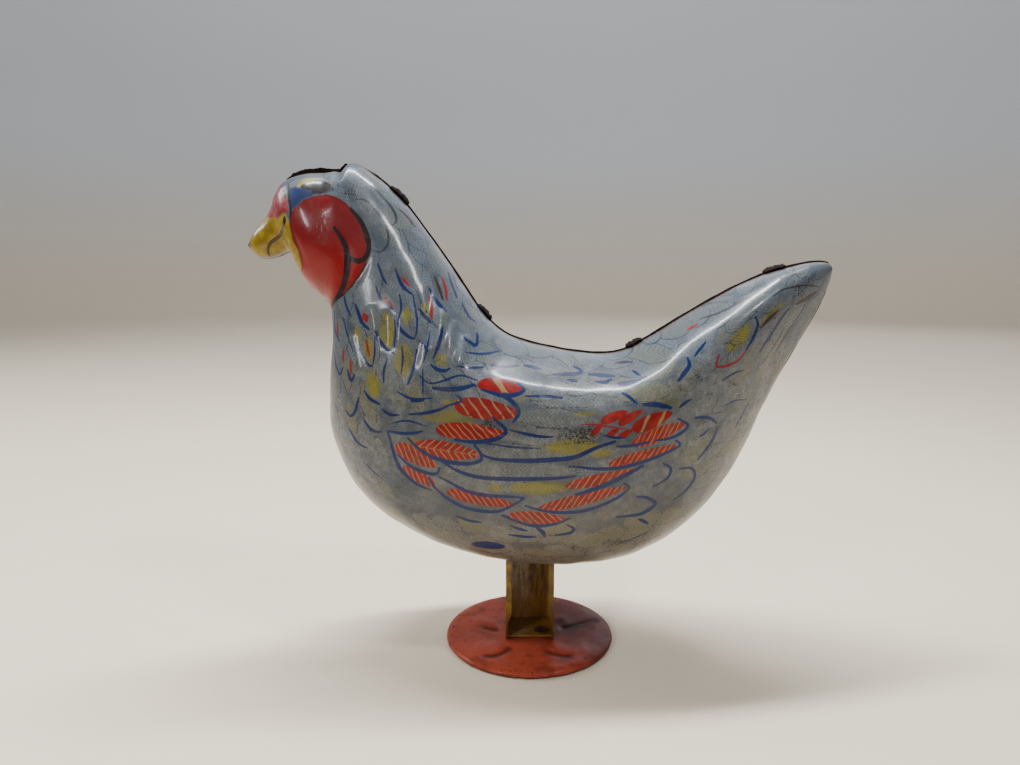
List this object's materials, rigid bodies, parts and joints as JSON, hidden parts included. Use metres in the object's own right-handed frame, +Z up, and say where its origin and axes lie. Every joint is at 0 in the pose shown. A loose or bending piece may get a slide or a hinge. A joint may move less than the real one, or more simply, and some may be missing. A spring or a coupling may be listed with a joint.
{
  "type": "press-down egg-laying tin hen",
  "caption": "Hollow printed tin hen in two pressed halves, sliding on one sprung channel leg over a round foot disc; pressing it works an egg gate inside.",
  "frame": {"origin": "under the middle of the overall length, on the plane where the two body halves meet, at the level the foot disc stands on", "axes": "+X toward the tail, the head at -X; +Y toward the hen's right side, which has the loading hole; +Z up"},
  "size_m": [0.17, 0.06, 0.1442],
  "materials": {
    "litho_tin": "printed and varnished, worn gloss",
    "red_lacquer": "worn gloss lacquer",
    "yellow_leg": "thin yellow lacquer worn to grey steel",
    "rusted_edge": "raw rusted sheet edge",
    "bright_steel": "dull tinned steel",
    "gate_steel": "dull yellowed plating"
  },
  "bodies": {
    "stand": {"base_disc": "red_lacquer", "leg_channel": "yellow_leg", "foot_eyelet": "bright_steel", "drive_pin": "bright_steel", "spring_seat": "bright_steel", "guide_rod": "bright_steel", "stop_clip": "bright_steel", "return_spring": "bright_steel"},
    "hen": {"shell_left": "litho_tin", "shell_right": "litho_tin", "comb_root": "rusted_edge", "spring_bridge": "bright_steel", "leg_guide": "bright_steel", "egg_chute": "bright_steel", "egg_deflector": "bright_steel", "outlet_tube": "bright_steel", "feed_tube": "bright_steel", "gate_pivot_pin": "bright_steel", "gate_spacer_left": "gate_steel", "gate_spacer_right": "gate_steel"},
    "gate": {"gate_lever": "gate_steel"}
  },
  "joints": [
    {"name": "body_press", "type": "slide", "parent": "stand", "child": "hen", "axis": [0, 0, -1], "range_m": [0, 0.012], "stiffness_N_per_m": 500, "springref_m": -0.008, "deforming": ["return_spring"]},
    {"name": "gate_swing", "type": "hinge", "parent": "hen", "child": "gate", "pos_m": [0.023, 0, 0.0674], "axis": [0, 1, 0], "range_deg": [0, 43.65]}
  ],
  "couplings": [
    {"joint": "gate_swing", "follows": "body_press", "rad_per_m": 63.418}
  ]
}
